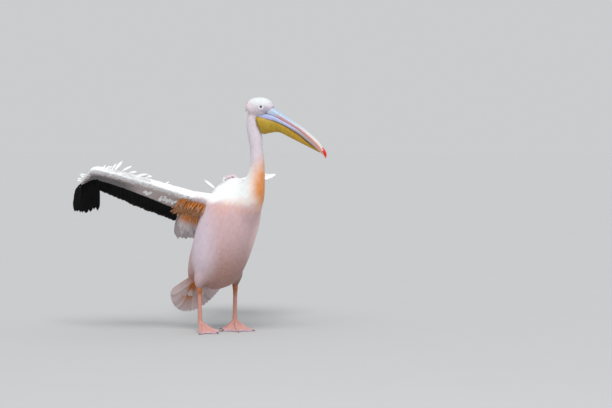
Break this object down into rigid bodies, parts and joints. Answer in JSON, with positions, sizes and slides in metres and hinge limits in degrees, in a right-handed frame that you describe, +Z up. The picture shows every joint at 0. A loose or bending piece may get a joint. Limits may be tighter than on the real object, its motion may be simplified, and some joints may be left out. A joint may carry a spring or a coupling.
{
  "type": "great white pelican",
  "caption": "Still model of a standing pelican with half-open wings, a long hooked bill and a throat pouch, for display.",
  "frame": {"origin": "on the floor, below the middle of the bounding box", "axes": "+Z up, the bird's chest faces -Y and its left wing is on the +X side"},
  "size_m": [1.1906, 1.348, 1.1331],
  "materials": {
    "plumage": "matt white feathers with a pink flush",
    "flight_feathers": "dark vanes with a faint silky gloss",
    "tertial_feathers": "matt pale buff feathers",
    "leg": "scaled bare skin, slightly waxy",
    "claw": "horn",
    "bill": "satin horn",
    "bill_nail": "satin horn",
    "pouch": "thin bare skin, waxy",
    "eye": "wet gloss"
  },
  "bodies": {
    "root": {"trunk": "plumage", "neck_lower": "plumage", "neck_upper": "plumage", "head": "plumage", "crest": "plumage", "eye_right": "eye", "eye_left": "eye", "bill_upper": "bill", "bill_lower": "bill", "bill_nail": "bill_nail", "pouch": "pouch", "tail": "plumage", "thigh_right": "plumage", "shank_right": "leg", "foot_right": "leg", "claw_hind_right": "claw", "claw_inner_right": "claw", "claw_middle_right": "claw", "claw_outer_right": "claw", "thigh_left": "plumage", "shank_left": "leg", "foot_left": "leg", "claw_hind_left": "claw", "claw_inner_left": "claw", "claw_middle_left": "claw", "claw_outer_left": "claw", "upper_arm_right": "plumage", "forearm_right": "plumage", "hand_right": "plumage", "tertials_right": "tertial_feathers", "secondaries_right": "flight_feathers", "primaries_right": "flight_feathers", "upper_arm_left": "plumage", "forearm_left": "plumage", "hand_left": "plumage", "tertials_left": "tertial_feathers", "secondaries_left": "flight_feathers", "primaries_left": "flight_feathers"}
  },
  "joints": []
}
